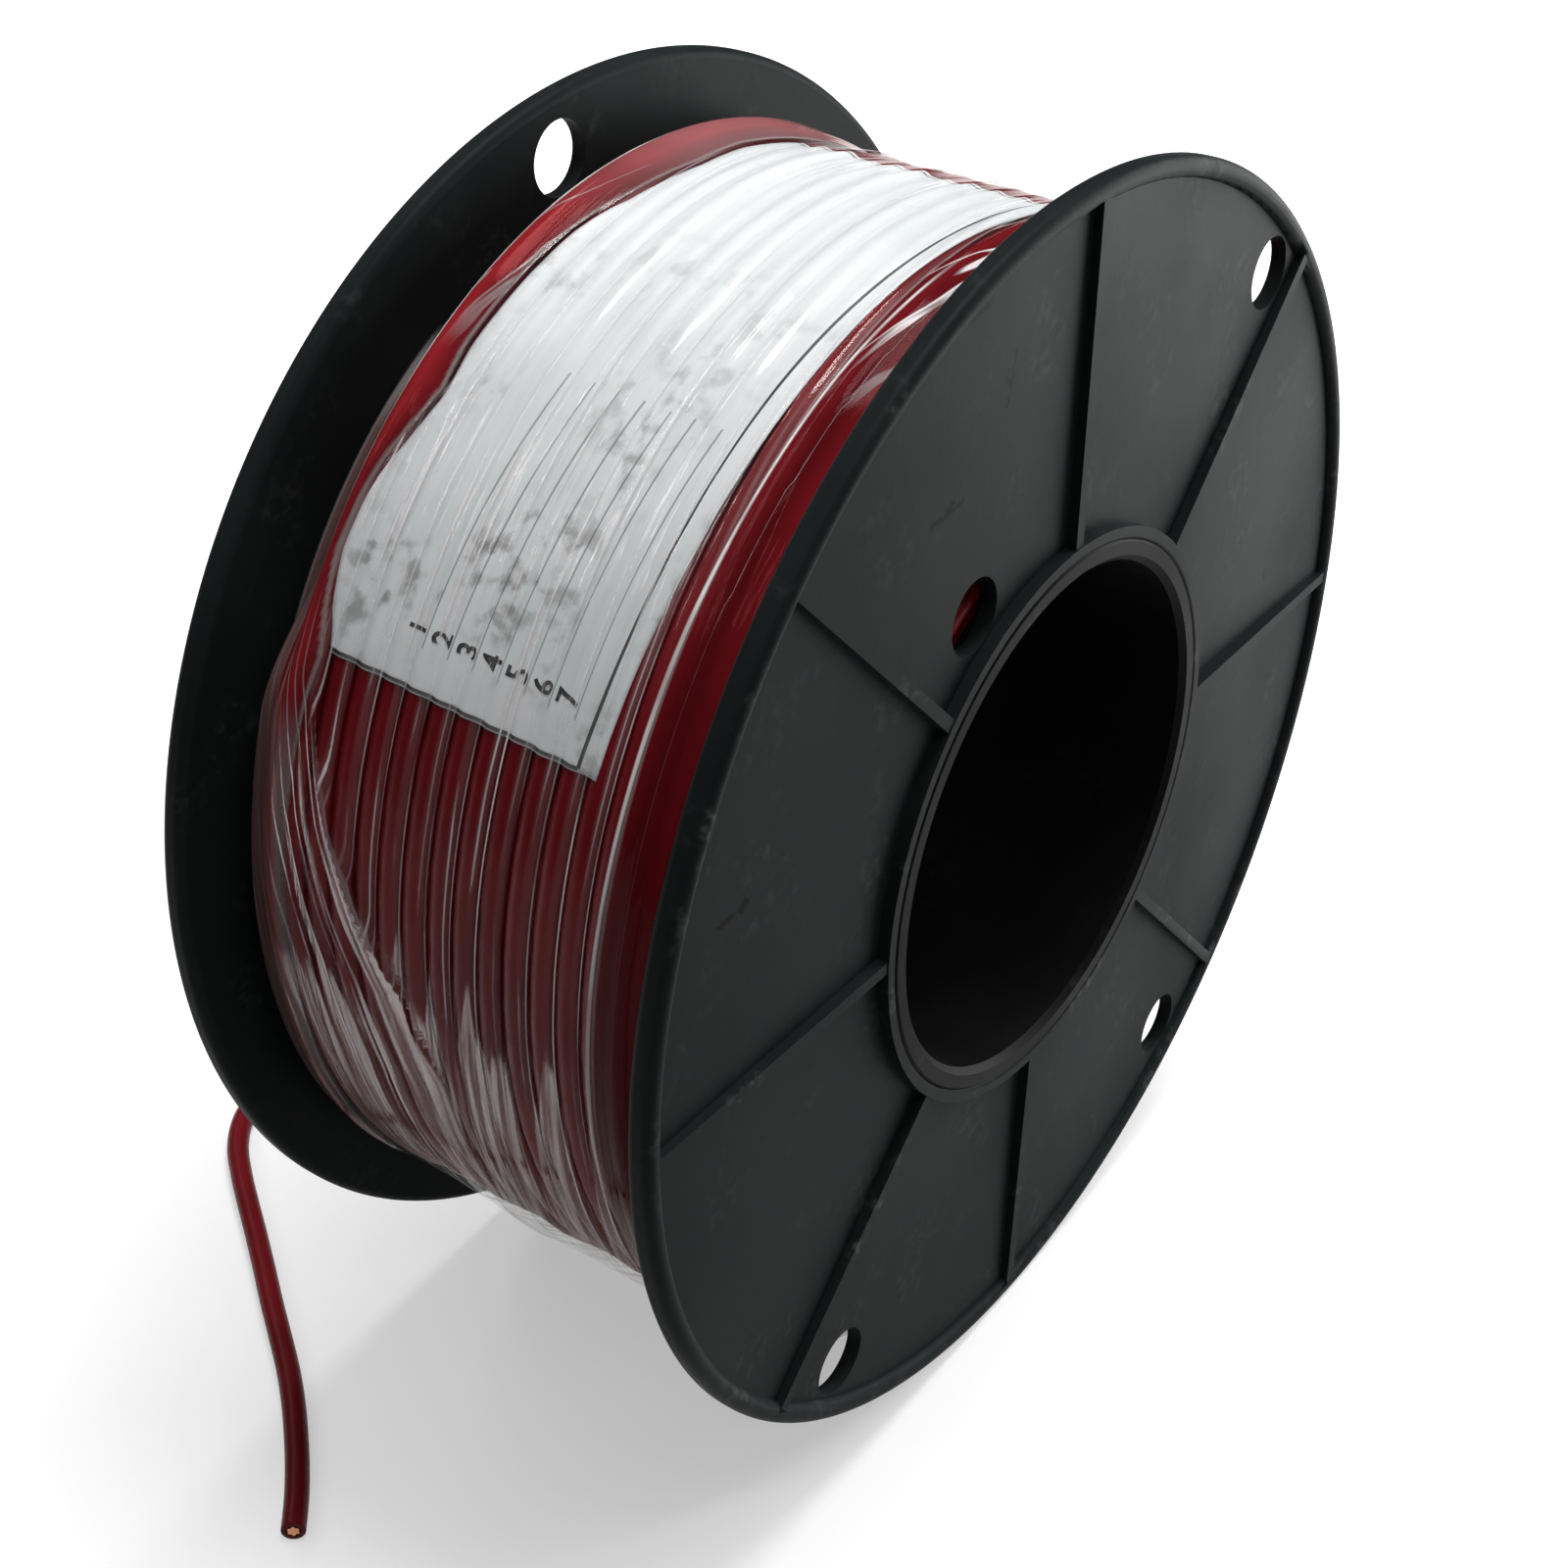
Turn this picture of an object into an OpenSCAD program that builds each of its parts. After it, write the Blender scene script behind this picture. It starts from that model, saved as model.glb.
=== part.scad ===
// Wire spool: two ribbed flanges pressed on a core barrel, wound with one length of
// single-core wire, with a paper label over the turns and a clear film round both.
// The spool stands on its two rims: X is the axle, Z is up, the origin is under the middle.

/* [Spool] */
// Outside diameter of both flanges
flange_d = 200; // [190:1:260]
// Clear width between the flanges, which the wire fills
traverse = 78.6; // [60:0.2:120]
// Diameter of the spindle bore through the barrel
bore_d = 82; // [50:0.5:110]

/* [Flange] */
// Thickness of the flat panel
web_t = 2.5; // [1.5:0.1:5]
// Radial width of the raised rim
rim_w = 3.2; // [3.1:0.1:8]
// Thickness of the rim, measured from the inner face
rim_t = 4; // [3:0.1:8]
// Radius that rounds the edges of the rim
rim_round = 1.5; // [0.4:0.1:1.5]
// Wall of the collar round the barrel's end
collar_wall = 2; // [1:0.1:5]
// Height of the collar, measured from the inner face
collar_h = 4.5; // [3.5:0.1:9]
// Number of radial ribs
rib_count = 8; // [4:1:12]
// Width of a rib
rib_w = 2; // [1:0.1:4]
// Angle of the first rib from the first hole
rib_turn = 35; // [30:1:37]
// Diameter of the wire and drive holes
hole_d = 11.5; // [8:0.5:12.5]
// Wall left between an outer hole and the rim
hole_rim_gap = 0.5; // [0.3:0.1:2]
// Wall left between the inner hole and the collar
hole_collar_gap = 0.4; // [0.3:0.1:6]
// Angle at which the near flange sits on the barrel
near_turn = 306.5; // [0:0.5:359.5]
// Angle at which the far flange sits on the barrel
far_turn = 83; // [80:0.5:86]

/* [Barrel] */
// Wall of the barrel's ends, which the flanges are pressed on
spigot_wall = 3.5; // [2:0.1:6]
// Height of the shoulder that each flange seats against
shoulder_h = 3.5; // [2:0.1:8]
// Chamfer of the bore's two mouths
mouth_chamfer = 1; // [0.4:0.1:1.5]
// Chamfer along the seam between the barrel's ends and the collars
seam_chamfer = 0.4; // [0.2:0.1:0.6]

/* [Wire] */
// Outside diameter of the insulated wire
wire_d = 4; // [3:0.1:5]
// Diameter over the outer layer of turns
winding_d = 178; // [150:1:182]
// Gap between neighbouring turns of the outer layer
turn_gap = 0.5; // [0.45:0.05:2]
// Diameter of one copper strand
strand_d = 0.7; // [0.4:0.05:0.9]
// Length of conductor shown in the cut end
strand_l = 6; // [3:0.5:8]

/* [Label and film] */
// Width of the label along the axle
label_w = 48; // [30:1:60]
// Length of the label across its curve, corner to corner
label_l = 111; // [60:1:130]
// Thickness of the label paper
label_t = 0.2; // [0.1:0.05:0.5]
// Place of the label's middle along the axle
label_x = -1.5; // [-8:0.5:8]
// Angle of the label's middle above the level of the axle
label_angle = 67; // [0:1:90]
// Tilt of the label on the winding
label_tilt = 3; // [0:0.5:8]
// Thickness of the film over all its layers
film_t = 0.3; // [0.1:0.05:0.8]

/* [Hidden] */
$fn = 96;

// Clearance of every seated piece, and of the press fit on the barrel's ends
seat_gap = 0.2;
press_gap = 0.02;
// Overshoot of a cut past the faces that it goes through
cut = 1;
// How far a rib reaches into the collar and the rim, and how far its top lies below theirs
rib_root = 0.8;
rib_drop = 0.2;

// Radii and places that follow from the driving sizes
flange_r = flange_d / 2;
rim_in_r = flange_r - rim_w;
bore_r = bore_d / 2;
spigot_r = bore_r + spigot_wall;
barrel_r = spigot_r + shoulder_h;
collar_r = spigot_r + collar_wall;
outer_hole_r = rim_in_r - hole_rim_gap - hole_d / 2;
inner_hole_r = collar_r + hole_collar_gap + hole_d / 2;
barrel_l = traverse + 2 * collar_h;
rib_step = 360 / rib_count;

// The moulding's holes, counted from its first outer hole, seen from outside
outer_hole_turns = [0, 70, 175];
inner_hole_turn = 244;

// Outer layer: a helix that ends at the hole nearest to the table
wire_r = wire_d / 2;
turn_r = winding_d / 2 - wire_r;
turn_pitch = wire_d + turn_gap;
turn_x = traverse / 2 - 2 * seat_gap - wire_r;
rings_per_turn = 24;
wire_sides = 6;
turn_steps = floor(2 * turn_x / turn_pitch * rings_per_turn);
// Angle between the last turn's end and the hole, in which the wire bends
exit_lead = 9;
end_turn = far_turn + outer_hole_turns[2] - exit_lead;
inner_layers_r = turn_r * cos(180 / rings_per_turn) - wire_r - seat_gap;
label_r = winding_d / 2 + seat_gap;
film_r = label_r + label_t + seat_gap;

// Outer radius of the conductor, whose strands are pressed flat where they touch
strand_press = 0.03;
bundle_r = 1.5 * strand_d - strand_press;

// Tail: from the last turn out through the hole, down to the table and forward to its cut end
tail_sides = 8;
tail_route = [
    [-37, 23.2, 15.8], [-37.8, 20.8, 15.2], [-39.4, 18.8, 14.6], [-41.6, 17.4, 14.1],
    [-44.5, 16.6, 13.6], [-48.5, 15.8, 12.7], [-54, 14.8, 11.2], [-60, 13.4, 9.4],
    [-66, 11.4, 7.5], [-72, 8.6, 5.7], [-78, 5, 4.2], [-84, 0.4, 3.1],
    [-89, -4.8, 2.4], [-93.5, -11, 2.1], [-97, -18, 2], [-99.3, -26, 2],
    [-100, -34, 2], [-99.6, -42, 2], [-97.4, -50, 2], [-92.6, -56.4, 2],
    [-86, -61.8, 2], [-79.5, -66.4, 2], [-72.8, -71, 2], [-65.7, -76, 2],
    [-58.6, -81.1, 2], [-51.8, -85.8, 2], [-45, -90.6, 2], [-39, -95.4, 2],
    [-33.5, -100.3, 2], [-29, -104.6, 2], [-25, -108.8, 2], [-21, -113.5, 2]
];

function unit(v) = v / norm(v);

// A point on the winding, from its angle above the axle's level, its radius and its place along X
function around(angle, radius, x) = [x, -radius * cos(angle), flange_r + radius * sin(angle)];

function turn_point(step) = around(
    end_turn - (turn_steps - step) * 360 / rings_per_turn,
    turn_r,
    turn_x - step * turn_pitch / rings_per_turn
);

// The turns, with a straight lead of one wire diameter at each end
function winding_route() =
    let (
        turns = [for (i = [0:turn_steps]) turn_point(i)],
        start_dir = unit(turns[0] - turns[1]),
        end_dir = unit(turns[turn_steps] - turns[turn_steps - 1])
    )
    concat(
        [turns[0] + start_dir * wire_d],
        turns,
        [turns[turn_steps] + end_dir * wire_d]
    );

function route_dir(route, i) =
    let (last = len(route) - 1)
    unit(route[min(i + 1, last)] - route[max(i - 1, 0)]);

// One ring of a swept wire: side_axis is a direction that the route never runs along
function ring(centre, dir, side_axis, radius, sides) =
    let (u = unit(cross(dir, side_axis)), v = cross(u, dir))
    [for (k = [0:sides - 1]) centre + radius * (cos(360 * k / sides) * u + sin(360 * k / sides) * v)];

module swept_wire(route, first_dir, side_axis, sides) {
    last = len(route) - 1;
    points = [
        for (i = [0:last])
            each ring(route[i], i == 0 ? first_dir : route_dir(route, i), side_axis, wire_r, sides)
    ];
    walls = [
        for (i = [0:last - 1], k = [0:sides - 1])
            let (a = i * sides + k, b = i * sides + (k + 1) % sides)
            each [[a, b, b + sides], [a, b + sides, a + sides]]
    ];
    first_cap = [for (k = [1:sides - 2]) [0, k + 1, k]];
    last_cap = [for (k = [1:sides - 2]) [last * sides, last * sides + k, last * sides + k + 1]];
    polyhedron(points, concat(walls, first_cap, last_cap));
}

winding = winding_route();
winding_last = len(winding) - 1;
tail = concat([winding[winding_last]], tail_route);
tail_first_dir = unit(winding[winding_last] - winding[winding_last - 1]);
tail_end = tail_route[len(tail_route) - 1];
tail_end_dir = route_dir(tail, len(tail) - 1);

// Least gap between a turn and the turns beside it
turn_distances = [
    for (i = [0:turn_steps - rings_per_turn], j = [-3:3])
        if (i + rings_per_turn + j <= turn_steps) norm(turn_point(i) - turn_point(i + rings_per_turn + j))
];
echo(least_turn_gap = min(turn_distances) - wire_d);

// Turns a piece that is modelled along Z on to the axle, with its top facing the far side
module on_axle() {
    translate([0, 0, flange_r]) rotate([90, 0, -90]) children();
}

// Panel, rim and collar in one profile: the inner face lies on the level of the axis
module flange_profile() {
    press_r = spigot_r + press_gap;
    rim_top = rim_t - rim_round;
    translate([press_r, 0]) square([rim_in_r - press_r + rim_round, web_t]);
    polygon([
        [press_r, 0],
        [collar_r, 0],
        [collar_r, collar_h],
        [press_r + seam_chamfer, collar_h],
        [press_r, collar_h - seam_chamfer]
    ]);
    translate([rim_in_r, 0]) square([rim_w - rim_round, rim_top]);
    translate([rim_in_r + rim_round, 0]) square([rim_w - 2 * rim_round, rim_t]);
    translate([rim_in_r + rim_round, rim_round]) square([rim_w - rim_round, rim_top - rim_round]);
    translate([rim_in_r + rim_round, rim_top]) circle(rim_round);
    for (z = [rim_round, rim_top])
        translate([flange_r - rim_round, z]) circle(rim_round);
}

// A rib runs from the collar to the rim, and its top slopes from one to the other
module rib() {
    foot = web_t / 2;
    rotate([90, 0, 0])
        translate([0, 0, -rib_w / 2])
            linear_extrude(rib_w)
                polygon([
                    [collar_r - rib_root, foot],
                    [rim_in_r + rib_root, foot],
                    [rim_in_r + rib_root, rim_t - rib_drop],
                    [collar_r - rib_root, collar_h - rib_drop]
                ]);
}

module flange_hole(turn, radius) {
    rotate(turn) translate([radius, 0, -cut]) cylinder(d = hole_d, h = collar_h + 2 * cut);
}

module flange() {
    difference() {
        union() {
            rotate_extrude($fn = 180) flange_profile();
            for (i = [0:rib_count - 1])
                rotate(rib_turn + i * rib_step) rib();
        }
        for (turn = outer_hole_turns)
            flange_hole(turn, outer_hole_r);
        flange_hole(inner_hole_turn, inner_hole_r);
    }
}

module near_flange() {
    color("#2b2d2e")
        on_axle()
            translate([0, 0, -traverse / 2]) rotate(near_turn) rotate([180, 0, 0]) flange();
}

module far_flange() {
    color("#242627")
        on_axle()
            translate([0, 0, traverse / 2]) rotate(far_turn) flange();
}

// Stepped tube: the flanges seat on its shoulders and its ends lie level with their collars
module core_barrel() {
    end = barrel_l / 2;
    half = [
        [barrel_r, traverse / 2],
        [spigot_r, traverse / 2],
        [spigot_r, end - seam_chamfer],
        [spigot_r - seam_chamfer, end],
        [bore_r + mouth_chamfer, end],
        [bore_r, end - mouth_chamfer]
    ];
    mirrored = [for (i = [len(half) - 1:-1:0]) [half[i][0], -half[i][1]]];
    color("#1c1d1e")
        on_axle() rotate_extrude() polygon(concat(half, mirrored));
}

// The layers below the outer one, as one solid ring
module wire_inner_layers() {
    color("#6e1019")
        on_axle()
            difference() {
                cylinder(r = inner_layers_r, h = traverse - 2 * seat_gap, center = true);
                cylinder(r = barrel_r + seat_gap, h = traverse + 2 * cut, center = true);
            }
}

module wire_outer_layer() {
    color("#98202d")
        swept_wire(winding, unit(winding[1] - winding[0]), [1, 0, 0], wire_sides);
}

// Outline of the stranded conductor: one strand in the middle and six pressed against it
module strand_bundle() {
    circle(d = strand_d, $fn = 24);
    for (k = [0:5])
        rotate(60 * k) translate([strand_d - strand_press, 0]) circle(d = strand_d, $fn = 24);
}

// Puts a piece on the cut end, with its Z axis out of the wire
module on_cut_end() {
    heading = atan2(tail_end_dir[1], tail_end_dir[0]);
    translate(tail_end) rotate([0, 90, heading]) children();
}

module wire_tail() {
    color("#8a1c28")
        difference() {
            swept_wire(tail, tail_first_dir, [0, 0, 1], tail_sides);
            on_cut_end()
                translate([0, 0, -strand_l]) cylinder(r = bundle_r + seat_gap, h = strand_l + cut);
        }
}

module wire_conductor() {
    color("#b87345")
        on_cut_end() translate([0, 0, -strand_l]) linear_extrude(strand_l) strand_bundle();
}

// A thin sheet on the winding, cut to its outline square to its middle
module label() {
    color("#d9dcda")
        intersection() {
            on_axle()
                difference() {
                    cylinder(r = label_r + label_t, h = traverse, center = true, $fn = 180);
                    cylinder(r = label_r, h = traverse + 2 * cut, center = true, $fn = 180);
                }
            translate([0, 0, flange_r])
                rotate([90 - label_angle, 0, 0])
                    translate([label_x, 0, 0])
                        rotate(-label_tilt)
                            translate([-label_w / 2, -label_l / 2, 0]) cube([label_w, label_l, flange_r]);
        }
}

module film_wrap() {
    color("#e8dede", 0.35)
        on_axle()
            difference() {
                cylinder(r = film_r + film_t, h = traverse - 2 * seat_gap, center = true, $fn = 180);
                cylinder(r = film_r, h = traverse + 2 * cut, center = true, $fn = 180);
            }
}

near_flange();
far_flange();
core_barrel();
wire_inner_layers();
wire_outer_layer();
wire_tail();
wire_conductor();
label();
film_wrap();
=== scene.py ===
"""Wire spool: black ribbed flanges, red wire wound between them, a label with row numbers, clear film."""
import math
import random

import bmesh
import bpy
import numpy as np
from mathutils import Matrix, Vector


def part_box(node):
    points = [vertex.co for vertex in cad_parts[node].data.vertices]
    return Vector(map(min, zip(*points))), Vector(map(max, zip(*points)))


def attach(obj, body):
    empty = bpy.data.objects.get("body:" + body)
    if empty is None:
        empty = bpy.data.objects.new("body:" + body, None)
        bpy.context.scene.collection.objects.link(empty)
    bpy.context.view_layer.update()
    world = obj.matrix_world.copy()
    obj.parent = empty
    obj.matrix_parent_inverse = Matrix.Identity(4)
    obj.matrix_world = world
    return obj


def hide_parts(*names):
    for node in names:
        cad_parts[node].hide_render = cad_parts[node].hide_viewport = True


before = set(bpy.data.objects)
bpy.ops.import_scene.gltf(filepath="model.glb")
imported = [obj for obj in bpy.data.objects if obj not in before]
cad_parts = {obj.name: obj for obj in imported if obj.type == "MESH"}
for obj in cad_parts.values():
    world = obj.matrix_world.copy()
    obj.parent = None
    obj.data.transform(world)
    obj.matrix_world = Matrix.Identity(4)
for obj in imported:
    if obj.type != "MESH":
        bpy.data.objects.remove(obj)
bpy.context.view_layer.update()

# Sizes in metres, from the frame or as the part's source has them
MM = 0.001
near_low, near_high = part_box("near_flange")
FLANGE_R = (near_high.z - near_low.z) / 2
AXLE_Z = FLANGE_R
TRAVERSE = 2 * near_low.x
BARREL_R = 48 * MM
RIM_T = 4 * MM
RIM_ROUND = 1.5 * MM
WIRE_R = 2 * MM
TURN_R = 87 * MM
TURN_PITCH = 4.5 * MM
TURN_X = TRAVERSE / 2 - 0.4 * MM - WIRE_R
TURN_STEP = 15
END_TURN = 249
START_TURN = END_TURN - TURN_STEP * math.floor(2 * TURN_X / TURN_PITCH * 360 / TURN_STEP)
CREST_R = TURN_R + WIRE_R

# Flange: the width of its softened edges, its outer band whose edges stay as they are, how far the rim's
# ring stands over the frame's mesh, and the places along X between which the plastic is rubbed more and more
EDGE_SOFT = 0.3 * MM
RIM_KEPT = 3 * MM
RIM_PROUD = 0.02 * MM
RUBBED_FROM = 42.4 * MM
RUBBED_TO = 43.2 * MM
# Scratches on the near panel: Y and Z, slant in degrees, length and width, in millimetres
PANEL_SCRATCHES = [(-18.0, 179.4, 75, 8, 0.7), (-18.7, 179.6, 108, 3.4, 0.6), (-32.7, 165.9, 6, 8, 0.8),
                   (-32.0, 166.7, 30, 2.4, 0.7), (-80.3, 130.5, 3, 6, 0.6), (-77.6, 130.7, 36, 2.2, 1.4),
                   (73.5, 108.4, 104, 2.4, 0.6), (-27.0, 191.6, 15, 5, 0.7)]
# An index of refraction that keeps grazing reflections of the floor down, on plastic and film
LOW_IOR = 1.1

# The wound wire is drawn fuller than the free end. Its outer layer strays at its ends: lower beside both
# flanges, and higher just before the last turn.
WOUND_R = 2.18 * MM
NEAR_DROP = 2.2 * MM
NEAR_DROP_FROM, NEAR_DROP_OVER = 29 * MM, 7 * MM
FAR_DROP = 3.2 * MM
FAR_RISE = 1.0 * MM
FAR_RISE_FROM, FAR_RISE_OVER = -27.5 * MM, 2 * MM
# How all turns wander along X and in radius: millimetres, waves a turn, and where the wave starts
WANDER_X = [(0.07, 0.37, 1.0), (0.06, 1.7, 0.0)]
WANDER_R = [(0.22, 0.63, 2.0), (0.12, 2.3, 0.0)]
# How far the inner layers stay off the flanges and the barrel, and below the outer layer
LAYERS_GAP = 0.3 * MM
LAYERS_SUNK = 1.2 * MM

# The free end's route, from the last turn to the cut end, in millimetres
TAIL_ROUTE = [
    (-37, 23.2, 15.8), (-37.8, 20.8, 15.2), (-39.4, 18.8, 14.6), (-41.6, 17.4, 14.1),
    (-44.5, 16.6, 13.6), (-48.5, 15.8, 12.7), (-54, 14.8, 11.2), (-60, 13.4, 9.4),
    (-66, 11.4, 7.5), (-72, 8.6, 5.7), (-78, 5, 4.2), (-84, 0.4, 3.1),
    (-89, -4.8, 2.4), (-93.5, -11, 2.1), (-97, -18, 2), (-99.3, -26, 2),
    (-100, -34, 2), (-99.6, -42, 2), (-97.4, -50, 2), (-92.6, -56.4, 2),
    (-86, -61.8, 2), (-79.5, -66.4, 2), (-72.8, -71, 2), (-65.7, -76, 2),
    (-58.6, -81.1, 2), (-51.8, -85.8, 2), (-45, -90.6, 2), (-39, -95.4, 2),
    (-33.5, -100.3, 2), (-29, -104.6, 2), (-25, -108.8, 2), (-21, -113.5, 2),
]
# Its cut face: the broken edge, and the conductor's seat
CUT_EDGE = 0.12 * MM
SEAT_R = 1.22 * MM
SEAT_DEPTH = 6 * MM

# Label on the winding: its middle, tilt, width along the axle, length round the turns and thickness
LABEL_ANGLE = 67
LABEL_TILT = math.radians(2.8)
LABEL_X = -1.5 * MM
LABEL_W = 48.5 * MM
LABEL_L = 120 * MM
LABEL_T = 0.15 * MM
# How far the sheet and its numbers lie above the turns
LABEL_LIFT = 0.12 * MM
NUMBER_LIFT = 0.17 * MM
# How far it sags between two turns: angles above the axle's level, and millimetres
LABEL_SAG = [(30, 0.60), (60, 0.50), (100, 0.40)]
# How its left edge strays: angles above the axle's level, and millimetres along X, and the share of its
# width that strays with it
LABEL_EDGE = [(29, 1.6), (33, 0), (38, -1.6), (43, -1.7), (47, -1.1), (54, 0.8), (59, -0.4),
              (68, -0.8), (74, -0.7), (81, 0.5), (91, 1.2), (98, 0)]
EDGE_SHARE = 0.25
# Rows printed on it, as shares of its width, with the size, weight and place of their numbers
LABEL_ROWS = [0.30 + 0.09 * i for i in range(7)]
NUMBER_SIZE = 4.2 * MM
NUMBER_WEIGHT = 0.08 * MM
NUMBER_FOOT = 0.44 * LABEL_L
# Printed lines: axis, place and two ends as shares of the sheet, and half the width in millimetres
LABEL_FRAME = [(0, 0.935, 0.004, 0.990, 0.22), (1, 0.004, 0.0, 0.935, 0.25), (1, 0.990, 0.0, 0.935, 0.22)]
LABEL_RULES = [(0, row + 0.036, 0.05, 0.40, 0.12) for row in LABEL_ROWS]
INK = (0.02, 0.02, 0.022)

# Film: the angle of its seam, its height above the turns, half its width, and its mesh
FILM_SEAM = 250
FILM_LIFT = 0.45 * MM
FILM_HALF = TRAVERSE / 2 - 0.25 * MM
FILM_COLUMNS = 340
FILM_ROWS = 290
# Where it hangs loose: its height over the other turns, the place along X past which it stays taut, and how
# much and how near its fold it rises
LOOSE_LIFT = 0.1 * MM
TAUT_FROM = 36 * MM
FOLD_RISE = 0.9 * MM
FOLD_NEAR = 16 * MM
# How far it sags between two turns: millimetres along X and of sag, and the share of it by angle above
# the axle's level
FILM_SLACK = [(-39, 0.10), (-30, 0.12), (-24, 0.50), (24, 0.50), (30, 0.16), (39, 0.12)]
FILM_DRAPE = [(20, 1), (60, 0.5), (100, 0.3), (180, 0.6)]
# By angle: how loose it hangs below, how much it mirrors, how strong the painted highlights along the
# turns are, and how much painted glare brightens it between two turns
FILM_BELOW = [(-110, 0.9), (-60, 1), (-34, 0.9), (-8, 0), (160, 0), (215, 0.8), (250, 0.9)]
FILM_GLOSS = [(-110, 0.6), (-50, 0.25), (-32, 0.05), (34, 0.05), (50, 0.9), (75, 0.5), (110, 0.6), (150, 1)]
FILM_HIGHLIGHT_LINES = [(-95, 0.3), (-60, 0.6), (-25, 1), (42, 1), (62, 0.4), (110, 0.25), (200, 0.3)]
FILM_BRIDGE_GLARE = [(-40, 0.05), (10, 0.03), (30, 0.05), (80, 0.14)]
# The film's slanting fold: angles above the axle's level, and places along X in millimetres
FILM_FOLD = [(-80, -2), (-27, -3), (-10, -4), (0, -8.5), (6, -14), (14, -20), (27, -27), (40, -29)]
FOLD_PLY = 3.1 * MM
# Painted highlight lines along the clinging film, as angles above the axle's level and millimetres along X
NEAR_GLINT = [(-40, 24.6), (0, 25.2), (42, 25.6), (67, 26.6), (86, 28)]
NEAR_EDGE_GLINT = [(38, 33.4), (58, 33.6), (72, 34), (84, 35)]
FAR_GLINT = [(22, -32.2), (50, -31.6), (60, -31.2), (95, -30.8)]
GLINT_END = 8
# Clinging bands: their outer edges in millimetres from the middle, their bulge, and their painted shade
# across
FAR_REACH = 34.5
NEAR_REACH = 38
FAR_BULGE = 0.8 * MM
NEAR_BULGE = 0.6 * MM
FAR_SHADE = [(0, 0.8), (0.35, 0.1), (0.6, 0.0), (0.8, 0.45), (1, 0.8)]
NEAR_SHADE = [(0, 0.8), (0.16, 0.75), (0.3, 0.1), (0.5, 0.6), (0.68, 0.0), (0.82, 0.3), (1, 0.95)]
rng = random.Random(7)


# Mesh helpers

def new_piece(name, vertices, faces, material, smooth_angle=35):
    """A piece on the one body, smooth apart from edges that are sharper than an angle."""
    mesh = bpy.data.meshes.new(name)
    mesh.from_pydata([tuple(v) for v in vertices], [], [tuple(f) for f in faces])
    mesh.update()
    mesh.polygons.foreach_set("use_smooth", [True] * len(mesh.polygons))
    mesh.set_sharp_from_angle(angle=math.radians(smooth_angle))
    piece = bpy.data.objects.new(name, mesh)
    bpy.context.scene.collection.objects.link(piece)
    mesh.materials.append(material)
    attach(piece, "root")
    return piece


def grid_faces(rows, columns, wrap):
    """Quads of a grid of vertices, row by row; wrap joins the last column to the first."""
    last = columns if wrap else columns - 1
    return [
        (r * columns + c, (r + 1) * columns + c,
         (r + 1) * columns + (c + 1) % columns, r * columns + (c + 1) % columns)
        for r in range(rows - 1) for c in range(last)
    ]


def tube(path, radii, sides):
    """Vertices and faces of a closed tube along a path, with a frame that doesn't twist."""
    path = np.asarray(path, float)
    ahead = np.gradient(path, axis=0)
    ahead /= np.linalg.norm(ahead, axis=1)[:, None]
    side = np.cross(ahead[0], (0.0, 0.0, 1.0))
    angles = np.linspace(0, -2 * math.pi, sides, endpoint=False)
    vertices = []
    for centre, direction, radius in zip(path, ahead, radii):
        side = side - direction * side.dot(direction)
        side /= np.linalg.norm(side)
        up = np.cross(direction, side)
        for a in angles:
            vertices.append(centre + radius * (math.cos(a) * side + math.sin(a) * up))
    faces = grid_faces(len(path), sides, wrap=True)
    end = (len(path) - 1) * sides
    faces.append(tuple(range(sides)))
    faces.append(tuple(reversed(range(end, end + sides))))
    return vertices, faces


def smooth_path(points, step):
    """A Catmull-Rom curve through the points, sampled about every step."""
    p = [np.asarray(q, float) for q in points]
    p = [2 * p[0] - p[1]] + p + [2 * p[-1] - p[-2]]
    out = []
    for a, b, c, d in zip(p, p[1:], p[2:], p[3:]):
        count = max(2, round(np.linalg.norm(c - b) / step))
        for t in np.arange(count) / count:
            out.append(0.5 * (2 * b + (c - a) * t + (2 * a - 5 * b + 4 * c - d) * t ** 2
                              + (3 * b - a - 3 * c + d) * t ** 3))
    out.append(p[-2])
    return np.array(out)


def soft_step(value):
    """0 below 0, 1 above 1, and a smooth rise between."""
    value = np.clip(value, 0, 1)
    return value * value * (3 - 2 * value)


def graded(at, pairs):
    """A value that changes from place to place, from pairs of a place and the value there."""
    return np.interp(at, *zip(*pairs))


def around(angle, radius, x):
    """Points on the winding, from angles above the axle's level, radii and places along X."""
    a = np.radians(angle)
    x = np.broadcast_to(x, np.broadcast(a, radius, x).shape)
    return np.stack([x, -radius * np.cos(a), AXLE_Z + radius * np.sin(a)], axis=-1)


# Node helpers

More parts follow.
